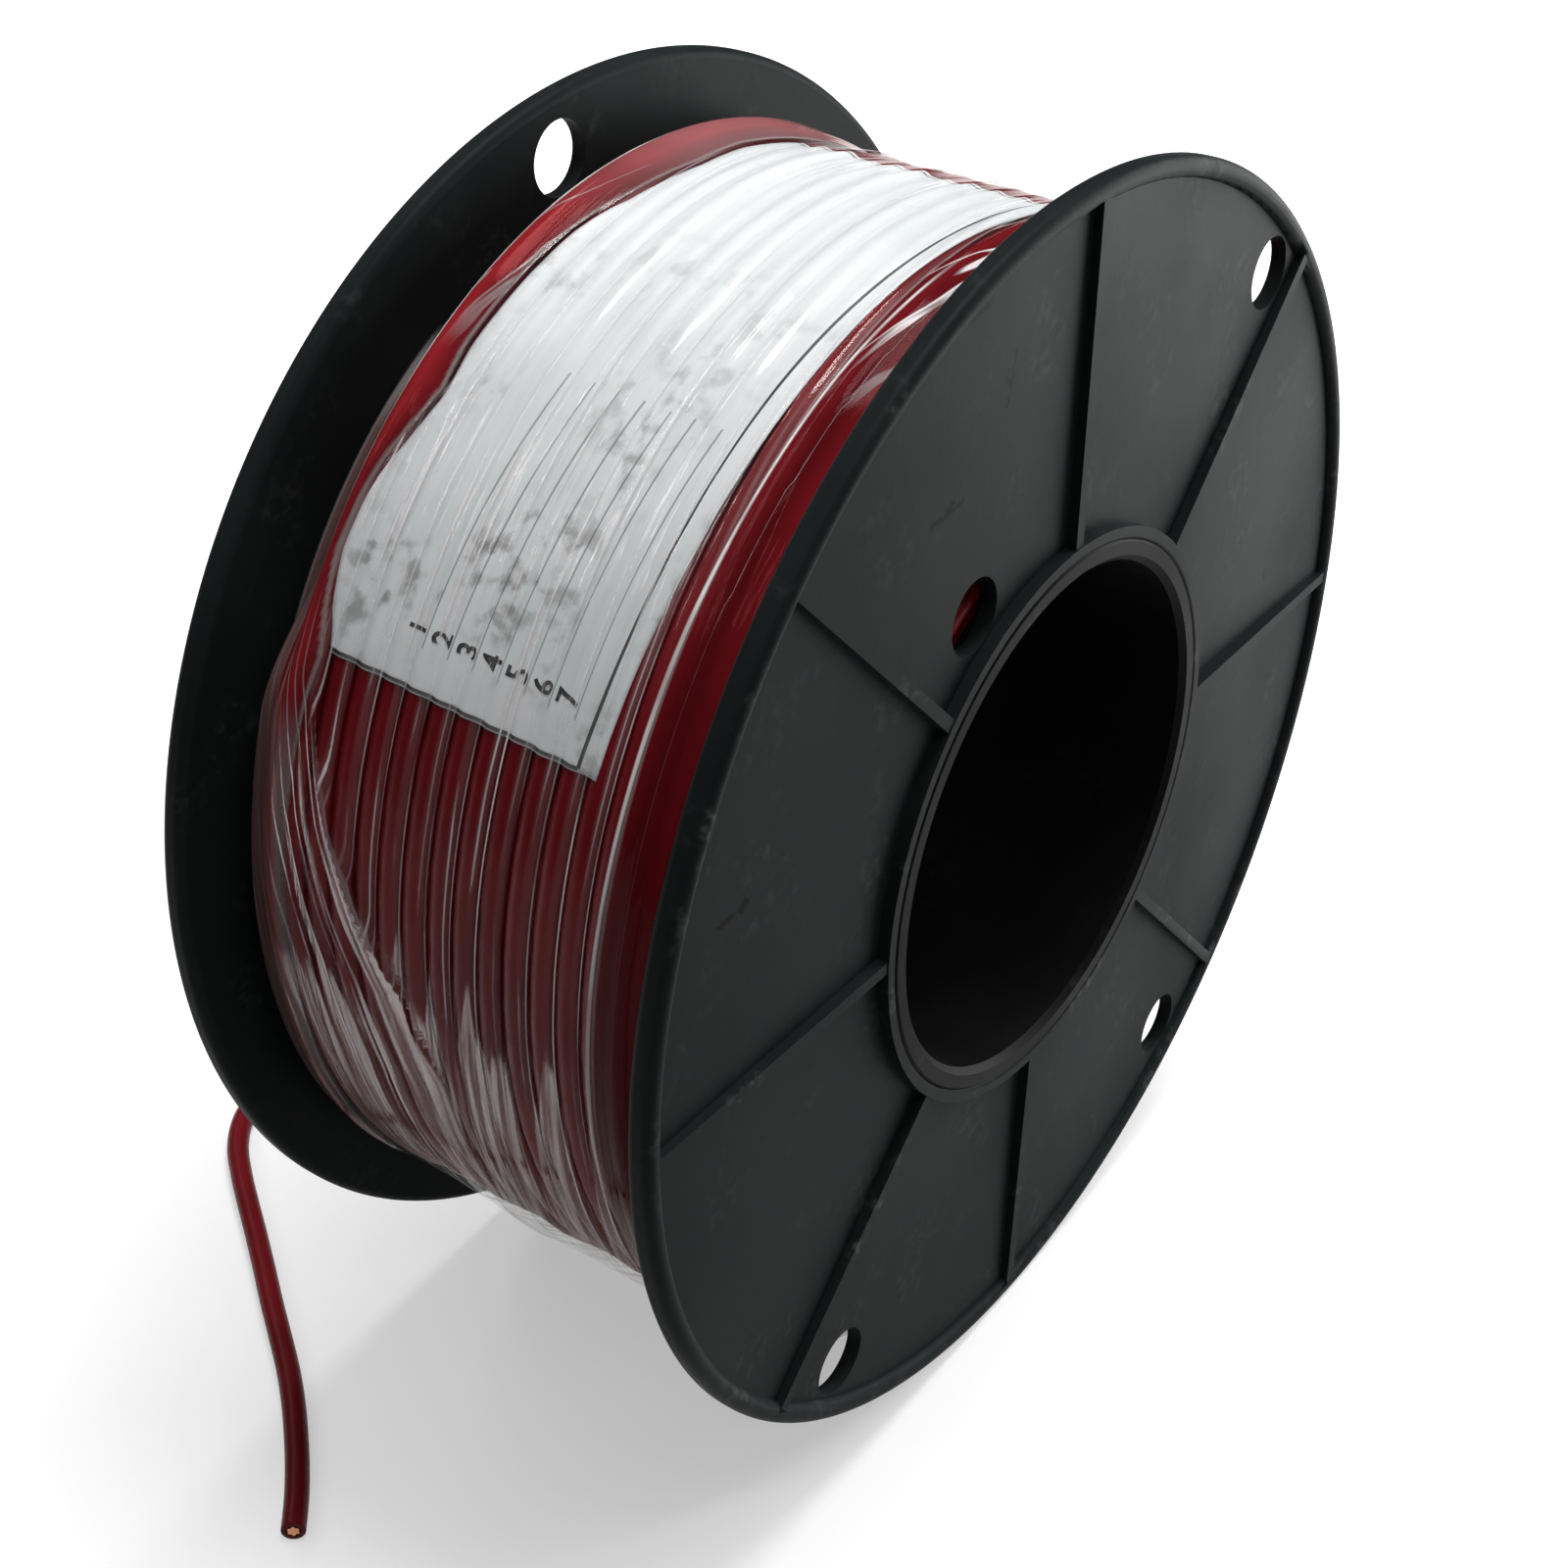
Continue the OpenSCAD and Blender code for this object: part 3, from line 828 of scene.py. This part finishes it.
def film_looks(angles, x, bands, haze_and_glare):
    """The values at each vertex that the film's material draws its looks from."""
    far, near, hollow = bands
    cling = np.maximum(far, near)
    beside = film_beside(angles, x + 0.8 * MM)
    gloss = graded(angles, FILM_GLOSS) * (1 - 0.7 * near * graded(angles, [(50, 0), (62, 1)]))
    lines = graded(angles, FILM_HIGHLIGHT_LINES) * graded(x / MM, [(-36, 0), (-32, 1), (23, 1), (26, 0.1)])[:, None]
    crinkle = near * graded(angles, [(64, 0), (74, 1), (92, 1), (100, 0)])
    crinkle = crinkle + far * graded(angles, [(58, 0), (66, 0.6), (80, 0.6), (88, 0)])
    off_glint, glint = film_glints(angles, x)
    return {
        "haze_and_glare": haze_and_glare, "veil": film_veil(angles, x), "gloss": gloss, "beside": beside,
        "lines": lines * (1 - beside) * (1 - cling), "bridge": graded(angles, FILM_BRIDGE_GLARE),
        "cling": cling, "hollow": hollow, "shade": band_shade(angles, x), "crinkle": crinkle,
        "off_glint": off_glint, "glint": glint,
    }


def spread_film(mesh, angles, x):
    """Lays the film out flat for its patterns: as it is wrapped, fanned out beside its fold, and aslant."""
    shape = (len(x), len(angles))
    arc = np.broadcast_to(np.radians(angles) * CREST_R, shape)
    wrap = np.broadcast_to(x[:, None], shape)
    fold = fold_place(angles)[None, :]
    fan = np.where(wrap < fold, (wrap - fold) / (fold + FILM_HALF) * 30 * MM, wrap - fold)
    fan = np.where(wrap > fold + 1.2 * MM, wrap - 0.06 * arc + 50 * MM, fan)
    corner = np.empty(len(mesh.loops), int)
    mesh.loops.foreach_get("vertex_index", corner)
    for name, place in (("wrap", wrap), ("fan", fan), ("slant", wrap - 0.22 * arc)):
        layer = mesh.uv_layers.new(name=name)
        flat = np.stack([arc, place], axis=-1).reshape(-1, 2)
        layer.data.foreach_set("uv", flat[corner].ravel())


def bulge(x, low, high):
    """A round hump between two places along X."""
    share = np.clip((x - low) / (high - low), 0, 1)
    return 4 * share * (1 - share)


def film_bands(angles, x):
    """1 where the film clings beside the label: far band, near band, and a hollow in the near one, painted
    dark as shade.
    """
    left, right = label_edges(angles)
    x = x[:, None]
    far = soft_step((left - 0.2 * MM - x) / (0.6 * MM)) * soft_step(x / MM + FAR_REACH)
    far = far * graded(angles, [(4, 0), (24, 1), (150, 1), (190, 0)])
    strip = soft_step((-28.5 - x / MM) / 3) * soft_step((x / MM + 38.9) / 0.5)
    far = np.maximum(far, strip * graded(angles, [(-50, 0), (-28, 0.9), (50, 0.9), (62, 0)]))
    near = soft_step((x - np.maximum(right + 0.8 * MM, 25.5 * MM)) / (0.8 * MM))
    near = near * graded(angles, [(-50, 0), (-30, 1), (150, 1), (190, 0)])
    width = graded(angles, [(81, 0), (88, 2.6), (95, 2.9), (103, 1)]) * MM
    hollow = soft_step((x - right) / (0.4 * MM)) * soft_step((right + width - x) / (0.5 * MM))
    return far, near, hollow * graded(angles, [(80, 0), (83, 1), (102, 1), (106, 0)])


def band_shade(angles, x):
    """Painted shade across the clinging bands, from 0 to 1: darkest at their two edges."""
    left, right = label_edges(angles)
    x = x[:, None]
    far = graded((x + FAR_REACH * MM) / (left + FAR_REACH * MM), FAR_SHADE)
    near = graded((x - right) / (NEAR_REACH * MM - right), NEAR_SHADE)
    return np.where(x < 0, far, near)


def film_glints(angles, x):
    """Millimetres to the nearest painted highlight line along the film, and how strong that line is."""
    paths = (FAR_GLINT, NEAR_GLINT, NEAR_EDGE_GLINT)
    away = np.stack([x[:, None] / MM - graded(angles, path)[None, :] for path in paths])
    nearest = np.abs(away).argmin(axis=0)
    off = np.take_along_axis(away, nearest[None], axis=0)[0]
    levels = []
    for path in paths:
        low, high = path[0][0], path[-1][0]
        level = graded(angles, [(low, 0), (low + GLINT_END, 1), (high - GLINT_END, 1), (high, 0)])
        levels.append(np.broadcast_to(level, nearest.shape))
    return off, np.choose(nearest, levels)


def fold_place(angles):
    """Places along X of the film's slanting fold."""
    return graded(angles, FILM_FOLD) * MM


def film_beside(angles, x):
    """1 left of the film's slanting fold, fading out at its upper end."""
    beside = soft_step((fold_place(angles)[None, :] - x[:, None]) / (1.2 * MM))
    beside = beside * soft_step((36 - angles) / 14)[None, :]
    return beside * graded(angles, [(-85, 0), (-60, 1), (60, 1), (61, 0)])[None, :]


def film_tent(angles, x):
    """1 where the film hangs loose over the turns: left of its slanting fold, and all round below."""
    return np.maximum(film_beside(angles, x), graded(angles, FILM_BELOW)[None, :])


def film_veil(angles, x):
    """How much of the loose film shows as milky flames, from 0 to 1."""
    shown = [(-25, 1), (5, 0.5), (25, 0.06), (69, 0.06), (70, 1)]
    veil = film_tent(angles, x) * graded(angles, shown)
    loose_from = graded(x / MM, [(0, 9), (12, 7), (25, -1), (33, -9)])
    veil = np.maximum(veil, soft_step((loose_from[:, None] - angles) / 16) * (angles > -90))
    return veil * graded(x / MM, [(-37, 0.15), (-32, 1)])[:, None]


def film_creases():
    """Each crease: its path as angles and places along X in millimetres, its size and its milkiness, which
    partly paints a highlight.
    """
    creases = [dict(path=FILM_FOLD, height=0.5, width=1.4, haze_and_glare=0.0)]
    creases.append(dict(path=NEAR_GLINT, height=0.15, width=0.6, haze_and_glare=0.0))
    creases.append(dict(path=FAR_GLINT, height=0.1, width=0.6, haze_and_glare=0.0))
    beside_label = [(80, 25), (86, 27.6), (92, 28.2), (100, 28.8)]
    creases.append(dict(path=beside_label, height=0.3, width=0.5, haze_and_glare=0.0))
    # Six creases whose milk paints white highlight streaks beside the label's left edge.
    for _ in range(6):
        low = rng.uniform(49, 57)
        creases.append(dict(
            path=[(low, -27), (low + rng.uniform(3, 9), rng.uniform(-21, -15))],
            height=rng.uniform(0.1, 0.3), width=rng.uniform(0.5, 0.9), haze_and_glare=rng.uniform(0.15, 0.3)))
    for _ in range(30):
        low, place = rng.uniform(40, 225), rng.uniform(-34, 34)
        creases.append(dict(
            path=[(low, place), (low + rng.uniform(15, 25), place + rng.uniform(-1, 1))],
            height=rng.uniform(0.08, 0.25), width=rng.uniform(0.4, 0.9), haze_and_glare=rng.uniform(0.05, 0.3)))
    return creases


def crease_shape(angles, x, crease):
    """1 along a crease's crest, with one steep side and one that fades, and falling to 0 at its ends."""
    at, place = zip(*crease["path"])
    share = (angles - at[0]) / (at[-1] - at[0])
    taper = np.where((share > 0) & (share < 1), np.sin(np.pi * np.clip(share, 0, 1)) ** 0.6, 0)
    centre = np.interp(angles, at, place) * MM
    centre = centre + 0.2 * MM * np.sin(angles / 6 + at[0])
    away = (x[:, None] - centre[None, :]) / (crease["width"] * MM)
    fall = np.where(away > 0, np.clip(1 - away / 0.6, 0, 1), np.clip(1 + away, 0, 1) ** 1.5)
    return fall * taper[None, :]


# Flanges

def add_rim_ring(bm, side):
    """A finely turned ring over the rim's round edge, where the frame's mesh is coarse."""
    segments = 360
    bend = RIM_ROUND + RIM_PROUD
    inner, outer = TRAVERSE / 2 + RIM_ROUND, TRAVERSE / 2 + RIM_T - RIM_ROUND
    bends = [(inner, a) for a in range(180, 89, -10)] + [(outer, a) for a in range(90, -1, -10)]
    angles = np.arange(segments) * 360 / segments
    rows = [around(angles, FLANGE_R - RIM_ROUND + bend * math.sin(math.radians(a)),
                   side * (x + bend * math.cos(math.radians(a)))) for x, a in bends]
    vertices = [bm.verts.new(v) for v in np.concatenate(rows)]
    quads = grid_faces(len(rows) + 1, segments, wrap=True)
    faces = [bm.faces.new([vertices[i % len(vertices)] for i in quad]) for quad in quads]
    bmesh.ops.recalc_face_normals(bm, faces=faces)


def mark_soft_edges(bm):
    """Marks the flange's sharp edges for softening, apart from the rim, which is round already."""
    weight = bm.edges.layers.float.new("bevel_weight_edge")
    for edge in bm.edges:
        reach = max(math.hypot(v.co.y, v.co.z - AXLE_Z) for v in edge.verts)
        if reach < FLANGE_R - RIM_KEPT and edge.is_manifold and edge.calc_face_angle() > math.radians(60):
            edge[weight] = 1.0


def make_flange(name, node, side):
    """The moulded flange from the frame's own mesh, with soft edges and a fine rim."""
    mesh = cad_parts[node].data.copy()
    mesh.name = name
    bm = bmesh.new()
    bm.from_mesh(mesh)
    bmesh.ops.remove_doubles(bm, verts=bm.verts, dist=0.002 * MM)
    bmesh.ops.dissolve_limit(bm, angle_limit=math.radians(0.5), verts=bm.verts, edges=bm.edges)
    mark_soft_edges(bm)
    add_rim_ring(bm, side)
    bm.to_mesh(mesh)
    bm.free()
    mesh.materials.clear()
    mesh.materials.append(FLANGE)
    mesh.polygons.foreach_set("use_smooth", [True] * len(mesh.polygons))
    mesh.set_sharp_from_angle(angle=math.radians(50))
    piece = bpy.data.objects.new(name, mesh)
    bpy.context.scene.collection.objects.link(piece)
    soft = piece.modifiers.new("edges", "BEVEL")
    soft.width = EDGE_SOFT
    soft.segments = 2
    soft.limit_method = "WEIGHT"
    piece.modifiers.new("flat_faces", "WEIGHTED_NORMAL").keep_sharp = True
    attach(piece, "root")
    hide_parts(node)


wire_end = make_outer_layer()
make_inner_layers()
make_tail(wire_end)
make_label()
make_row_numbers()
make_film()
make_flange("ribbed_flange_near", "near_flange", 1)
make_flange("ribbed_flange_far", "far_flange", -1)
for node, material in (("core_barrel", BARREL), ("wire_conductor", COPPER)):
    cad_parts[node].data.materials.clear()
    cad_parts[node].data.materials.append(material)


# Stage: floor, lights, world and camera

VIEW_AZIMUTH = math.radians(35.45)
VIEW_ELEVATION = math.radians(34.33)
VIEW_DISTANCE = 0.3878
VIEW_TARGET = Vector((-0.0019, -0.0075, AXLE_Z - 0.0073))
LENS = 55.1
SENSOR_W = 36
# Floor: half its size, the colour that it lights with, the colour that is seen, and its glow, which grows
# with the distance from the middle in metres
FLOOR_HALF = 3.0
FLOOR_LIT = (0.15, 0.15, 0.15)
FLOOR_SEEN = (0.60, 0.60, 0.60)
GLOW_FROM, GLOW_TO = 0.04, 0.42
GLOW_LEAST, GLOW_MOST = 0.42, 1.0
# The room's light at the horizon and overhead, and the point that the lamps face
ROOM_LOW, ROOM_HIGH = 0.03, 0.26
MIDDLE = (0, 0, 0.1)


def make_camera():
    """The camera as fitted to the photo."""
    back = Vector((math.sin(VIEW_AZIMUTH) * math.cos(VIEW_ELEVATION),
                   -math.cos(VIEW_AZIMUTH) * math.cos(VIEW_ELEVATION), math.sin(VIEW_ELEVATION)))
    camera = bpy.data.objects.new("camera", bpy.data.cameras.new("camera"))
    camera.data.sensor_width = SENSOR_W
    camera.data.lens = LENS
    camera.data.clip_start = 0.01
    camera.location = VIEW_TARGET + back * VIEW_DISTANCE
    camera.rotation_euler = back.to_track_quat("Z", "Y").to_euler()
    bpy.context.scene.collection.objects.link(camera)
    bpy.context.scene.camera = camera


def seen_directly(s):
    """1 for rays from the camera, or by way of gloss or clear film."""
    path = s.tree.nodes.new("ShaderNodeLightPath").outputs
    return s.larger(s.larger(path["Is Camera Ray"], path["Is Glossy Ray"]), path["Is Transmission Ray"])


def make_floor():
    """A pale floor that keeps the shadow near the object and runs out to plain white."""
    corners = [(FLOOR_HALF * x, FLOOR_HALF * y, 0) for x, y in ((-1, -1), (1, -1), (1, 1), (-1, 1))]
    mesh = bpy.data.meshes.new("floor")
    mesh.from_pydata(corners, [], [(0, 1, 2, 3)])
    floor = bpy.data.objects.new("floor", mesh)
    bpy.context.scene.collection.objects.link(floor)
    s = Shader("floor")
    seen = seen_directly(s)
    s.set(base_color=s.mix(seen, FLOOR_LIT, FLOOR_SEEN))
    s.set(roughness=0.9, specular_ior_level=0.0)
    distance = s.tree.nodes.new("ShaderNodeVectorMath")
    distance.operation = "LENGTH"
    s.feed(distance.inputs[0], s.place)
    glow = s.ramp(distance.outputs["Value"], GLOW_FROM, GLOW_TO, GLOW_LEAST, GLOW_MOST)
    s.set(emission_color=(1.0, 1.0, 1.0, 1.0), emission_strength=s.times(seen, glow))
    mesh.materials.append(s.material)


def make_world():
    """A dim room, brighter overhead."""
    world = bpy.data.worlds.new("studio")
    bpy.context.scene.world = world
    world.use_nodes = True
    tree = world.node_tree
    place = tree.nodes.new("ShaderNodeTexCoord")
    axes = tree.nodes.new("ShaderNodeSeparateXYZ")
    tree.links.new(place.outputs["Generated"], axes.inputs[0])
    height = tree.nodes.new("ShaderNodeMapRange")
    tree.links.new(axes.outputs["Z"], height.inputs["Value"])
    height.inputs["From Min"].default_value = 0.0
    height.inputs["To Min"].default_value = ROOM_LOW
    height.inputs["To Max"].default_value = ROOM_HIGH
    background = tree.nodes["Background"]
    background.inputs["Color"].default_value = (1, 1, 1, 1)
    tree.links.new(height.outputs[0], background.inputs["Strength"])


def area_light(name, place, target, size, power):
    """A rectangular lamp that faces a target. Sizes in metres, power in watts."""
    lamp = bpy.data.lights.new(name, "AREA")
    lamp.shape = "RECTANGLE"
    lamp.size, lamp.size_y = size
    lamp.energy = power
    light = bpy.data.objects.new(name, lamp)
    light.location = place
    light.rotation_euler = (Vector(place) - Vector(target)).to_track_quat("Z", "Y").to_euler()
    bpy.context.scene.collection.objects.link(light)


make_camera()
make_floor()
make_world()
area_light("overhead", (0.06, 0.28, 1.18), MIDDLE, (0.5, 0.5), 11.0)
area_light("left_strip", (-0.80, -0.12, 0.80), MIDDLE, (1.2, 0.04), 1.8)
area_light("right_strip", (0.38, -0.25, 0.95), MIDDLE, (1.2, 0.04), 1.4)
area_light("right_fill", (0.20, 0.36, 0.17), (0.04, 0.07, 0.1), (0.32, 0.32), 2.0)
bpy.context.scene.view_settings.view_transform = "Standard"
